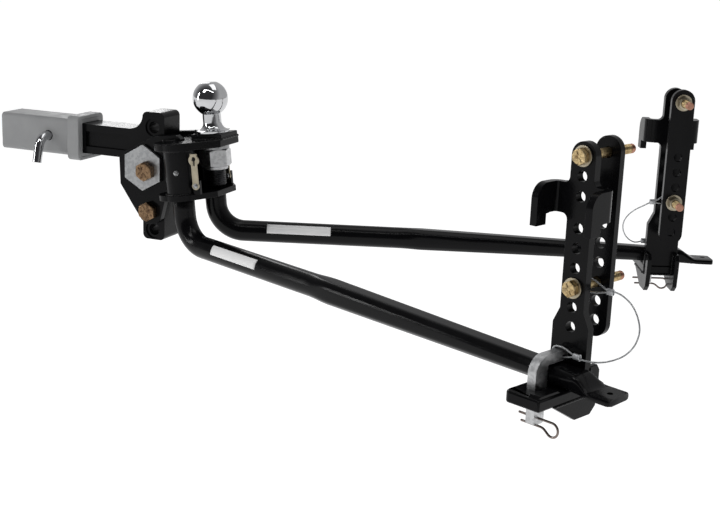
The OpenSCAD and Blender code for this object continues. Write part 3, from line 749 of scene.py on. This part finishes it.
def add_nuts(name, nodes, places, body, turn, flats, height, hole, metal="yellow_zinc"):
    """Nuts along y, each starting at its place."""
    nut = hex_body(flats, height, hole=hole, bottom=True, washer=0.0)
    parts = [moved(nut, Matrix.Translation(p) @ ALONG_Y) for p in places]
    verts, faces, _ = join(parts)
    obj = piece(name, verts, faces, body, metal, turn, smooth=32)
    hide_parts(*nodes)


CHEEK_OUT = 25.4 + 0.4 + 12.6
CAM_PLATE = 8
UPPER_SPAN = (-CHEEK_OUT - CAM_PLATE, CHEEK_OUT + 32)
LOWER_SPAN = (-CHEEK_OUT, CHEEK_OUT + 24)
add_bolts(
    "head_bolts_threaded", ["head_bolts"],
    [
        {"at": (-94, 0, -124), "span": UPPER_SPAN, "thread": 30, "pitch": 1.9},
        {"at": (-94, 0, -194), "span": LOWER_SPAN, "thread": 22, "pitch": 1.9},
    ],
    "hitch", None, (9.5, 28.6, 12), metal="bronze_zinc",
)
add_nuts(
    "head_nuts_chamfered", ["head_nuts"],
    [(-94, CHEEK_OUT + CAM_PLATE, -124), (-94, CHEEK_OUT, -194)], "hitch", None, 28.6, 16, 9.56,
    metal="bronze_zinc",
)
LOWER_BOLT = -91 - 3 * 25.4
for side in SIDES:
    turn = sided(bracket_turn, side)
    add_bolts(
        f"frame_bolts_threaded_{side}", [f"frame_bolts_{side}"],
        [
            {"at": (0, 0, z), "span": (-2.6, 104), "thread": 56, "pitch": 1.6}
            for z in (0, LOWER_BOLT)
        ],
        f"bracket_{side}", turn, (6.35, 19, 8),
    )
    add_nuts(
        f"frame_nuts_chamfered_{side}", [f"frame_nuts_{side}"],
        [(0, 63.1, z) for z in (0, LOWER_BOLT)], f"bracket_{side}", turn, 19, 11, 6.4,
        metal="pale_zinc",
    )


# ---- spring bars: one smooth loft from journal to flat tip ----

TAPER_FROM, TAPER_SLOPE = 280.0, 13 / 470
BAR_R, BAR_HALF = 18.25, 18.75
PADDLE_HALF, PADDLE_THICK, PADDLE_CORNER = 23.0, 9.0, 5.0
CORNER_CUT, TIP_CUT = 5.5, 1.2
JOURNAL_R, BAR_HOLE_R = 14.0, 4.0


def smooth_step(q):
    q = min(1.0, max(0.0, q))
    return q * q * (3 - 2 * q)


def bar_section(t):
    """Half width, top, bottom and corner cut of the bar at t along its straight run."""
    past = t - BAR_END
    top = BAR_R - max(0.0, t - TAPER_FROM) * TAPER_SLOPE
    low = BAR_R - (BAR_END - 60 - TAPER_FROM) * TAPER_SLOPE
    if past > -60:
        top = low + (-BAR_R + PADDLE_THICK - low) * smooth_step((past + 60) / 30)
    half = BAR_HALF
    if past > -50:
        half = BAR_HALF + (PADDLE_HALF - BAR_HALF) * smooth_step((past + 50) / 22)
    if past > -PADDLE_CORNER:
        across = math.sqrt(max(0.0, PADDLE_CORNER ** 2 - (past + PADDLE_CORNER) ** 2))
        half = PADDLE_HALF - PADDLE_CORNER + across
    cut = CORNER_CUT
    if past > -90:
        cut = max(TIP_CUT, CORNER_CUT - (CORNER_CUT - TIP_CUT) * (past + 90) / 50)
    return half, top, -BAR_R, cut


def bar_ring(t, sides, flat):
    """Points of one ring: round where flat is 0, a soft-cornered octagon where it is 1."""
    half, top, bottom, cut = bar_section(t)
    mid, tall = (top + bottom) / 2, (top - bottom) / 2
    ring = []
    for k in range(sides):
        a = 2 * math.pi * (k + 0.5) / sides
        c, s = abs(math.cos(a)), abs(math.sin(a))
        corner = (half + tall) / math.sqrt(2) - cut
        planes = (c / half, s / tall, (c + s) / math.sqrt(2) / corner)
        r = sum(q ** 22 for q in planes) ** (-1 / 22)
        octagon = (r * math.cos(a), mid + r * math.sin(a))
        circle = (BAR_R * math.cos(a), BAR_R * math.sin(a))
        ring.append(tuple(o * flat + q * (1 - flat) for o, q in zip(octagon, circle)))
    return ring


def bar_mesh():
    """The bar's rings: down the journal, round the elbow and out to the tip."""
    sides = 56
    around = [2 * math.pi * (k + 0.5) / sides for k in range(sides)]
    journal = [
        (-78.7, JOURNAL_R - 1.4), (-80.0, JOURNAL_R), (-84, JOURNAL_R), (-159.6, JOURNAL_R),
        (-160, BAR_R - 0.65), (-160.8, BAR_R - 0.03), (-175, BAR_R - 0.03),
    ]
    rings = [[(-r * math.cos(q), r * math.sin(q), w) for q in around] for w, r in journal]
    for a in np.linspace(0, 90 - math.degrees(BAR_DROP), 22):
        c, s = math.cos(rad(a)), math.sin(rad(a))
        ring = []
        for q in around:
            out = ELBOW_R + BAR_R * math.cos(q)
            ring.append((ELBOW_R - out * c, BAR_R * math.sin(q), ELBOW_W - out * s))
        rings.append(ring)
    tilt = np.array(
        Matrix.Translation((BAR_LEAD, 0, BAR_START_W)) @ Matrix.Rotation(BAR_DROP, 4, "Y")
    )
    paddle_from = BAR_END - 62
    stations = [
        *np.arange(30, 250, 40), *np.arange(250, 340, 5), *np.arange(340, paddle_from, 20),
        *np.arange(paddle_from, BAR_END - 6, 3),
        *(BAR_END - back for back in (5, 3.8, 2.6, 1.7, 1.0, 0.6, 0.3)),
    ]
    for t in stations:
        points = bar_ring(t, sides, smooth_step((t - 262) / 50))
        rings.append([tuple((tilt @ np.array([t, y, z, 1.0]))[:3]) for y, z in points])
    return rings, sides


def loft(rings, sides):
    """Faces between rings. Each ring is turned or reversed to match the one before it by place."""
    verts, faces = [], []
    previous = None
    for ring in rings:
        ring = np.array(ring)
        if previous is not None:
            step = ring.mean(0) - previous.mean(0)
            choices = [
                np.roll(r, -shift, axis=0) for r in (ring, ring[::-1]) for shift in range(sides)
            ]
            ring = min(choices, key=lambda r: np.linalg.norm(r - previous - step, axis=1).sum())
        verts.extend([tuple(p) for p in ring])
        previous = ring
    for j in range(len(rings) - 1):
        for k in range(sides):
            n = (k + 1) % sides
            faces.append([j * sides + k, j * sides + n, (j + 1) * sides + n, (j + 1) * sides + k])
    faces.append(list(range(sides))[::-1])
    faces.append([(len(rings) - 1) * sides + k for k in range(sides)])
    return verts, faces


def outward(obj):
    """Makes every face of a closed piece point out."""
    bm = bmesh.new()
    bm.from_mesh(obj.data)
    bmesh.ops.recalc_face_normals(bm, faces=bm.faces)
    bm.to_mesh(obj.data)
    bm.free()
    obj.data.shade_smooth()
    obj.data.set_sharp_from_angle(angle=rad(38))


def bored(obj, centre, axis_turn, radius):
    """Cuts a round hole through a piece and keeps the result as its mesh."""
    rod = lathe([(0, -40), (radius, -40), (radius, 40), (0, 40)], sides=40)
    turn = axis_turn @ Matrix.Translation(centre)
    cutter = piece("cutter", rod[0], rod[1], "hitch", "black_paint", turn)
    outward(cutter)
    cut = obj.modifiers.new("hole", "BOOLEAN")
    cut.operation = "DIFFERENCE"
    cut.object = cutter
    cut.solver = "EXACT"
    graph = bpy.context.evaluated_depsgraph_get()
    mesh = bpy.data.meshes.new_from_object(obj.evaluated_get(graph))
    obj.modifiers.clear()
    obj.data = mesh
    bpy.data.objects.remove(cutter)
    mesh.shade_smooth()
    mesh.set_sharp_from_angle(angle=rad(38))


bar_rings, bar_sides = bar_mesh()
bar_verts, bar_faces = loft(bar_rings, bar_sides)
for side in SIDES:
    turn = sided(bar_turn, side)
    bar = piece(f"bar_loft_{side}", bar_verts, bar_faces, f"bar_{side}", "bar_paint", turn)
    outward(bar)
    bored(bar, (BAR_END - 14, 0, 0), sided(straight_turn, side), BAR_HOLE_R)
    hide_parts(f"spring_bar_{side}")


# ---- a plain label on each bar, in place of a printed mark ----

def label_patch(t0, t1, low, high, radius=BAR_R + 0.09):
    """A patch wrapped on the round bar, from t0 to t1 along it and low to high degrees round it."""
    rows, cols = 14, 18
    verts, faces = [], []
    for j in range(rows + 1):
        a = rad(low + (high - low) * j / rows)
        for i in range(cols + 1):
            t = t0 + (t1 - t0) * i / cols
            verts.append((t, radius * math.cos(a), radius * math.sin(a)))
    for j in range(rows):
        for i in range(cols):
            a = j * (cols + 1) + i
            faces.append([a, a + 1, a + cols + 2, a + cols + 1])
    return verts, faces


LABEL_START, LABEL_END, LABEL_HALF_ANGLE = 40, 150, 26


def add_label(side, middle, way):
    """One plain label. way is 1 where the seen side's angle grows upward, -1 where it falls."""
    low, high = middle - way * LABEL_HALF_ANGLE, middle + way * LABEL_HALF_ANGLE
    verts, faces = label_patch(LABEL_START, LABEL_END, low, high)
    obj = piece(
        f"bar_label_{side}", verts, faces, f"bar_{side}", "white_vinyl",
        sided(straight_turn, side),
    )
    skin = obj.modifiers.new("thickness", "SOLIDIFY")
    skin.thickness = 0.00012
    skin.offset = 0


add_label("near", 152, -1)
add_label("far", 28, 1)


# ---- hairpins ----

PIN_Y, PIN_Z, WIRE_R = -52, -328, 1.6
LOOP_X, LOOP_R = 22, 9.3
for side in SIDES:
    upper = [(x, PIN_Y, PIN_Z) for x in np.linspace(-30, LOOP_X, 20)]
    bend = [
        (LOOP_X + LOOP_R * math.sin(rad(a)), PIN_Y, PIN_Z - LOOP_R + LOOP_R * math.cos(rad(a)))
        for a in np.linspace(8, 215, 26)
    ]
    lower = [(12.5, PIN_Y, -341.6), (9.3, PIN_Y, -339.4), (6.4, PIN_Y, -338.4)]
    lower += [(x, PIN_Y, -338.2) for x in np.linspace(3, -26, 14)]
    wire = tube(resample(np.array(upper + bend + lower), 1.0), WIRE_R, sides=16)
    obj = piece(
        f"hairpin_wire_{side}", wire[0], wire[1], f"hairpin_{side}", "spring_wire",
        sided(bracket_turn, side), smooth=60,
    )
    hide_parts(f"hairpin_{side}")


# ---- weld beads ----

def add_welds(name, lines, body, material, turn, radius=2.2):
    """One bead along each line, painted like the plates it joins."""
    verts, faces, _ = join([bead(line, radius) for line in lines])
    piece(name, verts, faces, body, material, turn, smooth=70)


head_lines = []
for s in (-1, 1):
    outer = (200, 345) if s < 0 else (15, 160)
    for w in (PLATE_UNDER, FLOOR_TOP):
        head_lines.append(arc(SOCKET_U, s * SOCKET_Y, 26.3, *outer, w))
    for y in (25.8, 38.4):
        head_lines.append([(-74, s * y, PLATE_TOP), (-50, s * y, PLATE_TOP)])
    head_lines.append([(-76, s * 38.6, PLATE_UNDER), (-62, s * 38.6, PLATE_UNDER)])
    head_lines.append([(-76, s * 38.6, FLOOR_TOP), (-62, s * 38.6, FLOOR_TOP)])
    head_lines.append([(-76, s * 38.6, FLOOR_UNDER), (-42, s * 38.6, FLOOR_UNDER)])
head_lines.append([(-25, -29, PLATE_TOP), (29, -29, PLATE_TOP)])
head_lines.append([(-25, 29, PLATE_TOP), (29, 29, PLATE_TOP)])
head_lines.append([(30, -28, PLATE_TOP), (30, 28, PLATE_TOP)])
add_welds("head_welds", head_lines, "hitch", "weld", HEAD)

collar_x, half_tube = -257.0, 31.75
corner = 7.0
ring_line = []
for a0, cy, cz in ((0, 1, 1), (90, -1, 1), (180, -1, -1), (270, 1, -1)):
    for a in np.linspace(a0, a0 + 90, 8):
        ring_line.append((
            collar_x,
            cy * (half_tube - corner) + (corner + 0.3) * math.cos(rad(a)),
            -85 + cz * (half_tube - corner) + (corner + 0.3) * math.sin(rad(a)),
        ))
ring_line.append(ring_line[0])
add_welds("collar_weld", [ring_line], "hitch", "primer_weld", None, radius=2.6)

for side in SIDES:
    lines = []
    for x in (-20, -27.4, 20, 27.4):
        lines.append([(x, -57, -304.5), (x, -1, -304.5)])
        lines.append([(x, 12.2, -303), (x, 12.2, -269)])
    lines.append([(-26, 0, -288.6), (26, 0, -288.6)])
    lines.append([(-19, 12.2, -304.4), (19, 12.2, -304.4)])
    turn = sided(bracket_turn, side)
    add_welds(f"bracket_welds_{side}", lines, f"bracket_{side}", "weld", turn, radius=1.9)


# ---- floor and light ----

def add_floor():
    verts, faces = [], []
    count, size, height = 48, 72.0, -0.62
    for j in range(count + 1):
        for i in range(count + 1):
            verts.append((size * (i / count - 0.5), size * (j / count - 0.5), height))
    for j in range(count):
        for i in range(count):
            a = j * (count + 1) + i
            faces.append((a, a + 1, a + count + 2, a + count + 1))
    mesh = bpy.data.meshes.new("floor")
    mesh.from_pydata(verts, [], faces)
    mesh.materials.append(surface(
        "pale_floor", [(0.30, 0.30, 0.30), (0.31, 0.31, 0.31)], rough=(0.8, 0.9), gloss=0.1,
        glow=0.92, patch=1.5, grain=40, depth=0.00002,
    ))
    floor = bpy.data.objects.new("floor", mesh)
    scene.collection.objects.link(floor)


def add_light(name, place, aim, size, power, tall=None):
    data = bpy.data.lights.new(name, "AREA")
    data.shape = "RECTANGLE"
    data.size = size
    data.size_y = tall or size
    data.energy = power
    lamp = bpy.data.objects.new(name, data)
    scene.collection.objects.link(lamp)
    lamp.location = place
    lamp.rotation_euler = (Vector(aim) - Vector(place)).to_track_quat("-Z", "Y").to_euler()


def add_world():
    world = bpy.data.worlds.new("studio")
    scene.world = world
    world.use_nodes = True
    tree = world.node_tree
    back = tree.nodes["Background"]
    place = tree.nodes.new("ShaderNodeTexCoord")
    facing = tree.nodes.new("ShaderNodeVectorMath")
    facing.operation = "DOT_PRODUCT"
    facing.inputs[1].default_value = (-0.1, -0.9, 0.42)
    span = tree.nodes.new("ShaderNodeMapRange")
    span.inputs["From Min"].default_value = -1.0
    ramp = tree.nodes.new("ShaderNodeValToRGB")
    tree.links.new(place.outputs["Generated"], facing.inputs[0])
    tree.links.new(facing.outputs["Value"], span.inputs["Value"])
    tree.links.new(span.outputs["Result"], ramp.inputs[0])
    steps = ramp.color_ramp.elements
    steps[0].position, steps[0].color = 0.45, (0.55, 0.55, 0.555, 1)
    steps[1].position, steps[1].color = 0.86, (0.045, 0.045, 0.047, 1)
    middle = steps.new(0.66)
    middle.color = (0.22, 0.22, 0.225, 1)
    tree.links.new(ramp.outputs[0], back.inputs["Color"])
    back.inputs["Strength"].default_value = 1.0


add_floor()
add_world()
add_light("key", (-0.9, -1.7, 2.1), (0.1, 0, -0.15), 0.7, 11)
add_light("top", (0.5, 0.3, 2.4), (0.3, 0, -0.1), 2.0, 10, tall=1.0)
add_light("rim", (-1.4, 1.9, 1.0), (0.1, 0, -0.1), 0.4, 9, tall=1.4)
add_light("strip_left", (-1.7, -1.1, 0.35), (0, 0, -0.25), 0.12, 9, tall=1.3)
add_light("strip_over", (0.3, -1.0, 1.7), (0.3, 0, -0.2), 2.2, 6, tall=0.07)
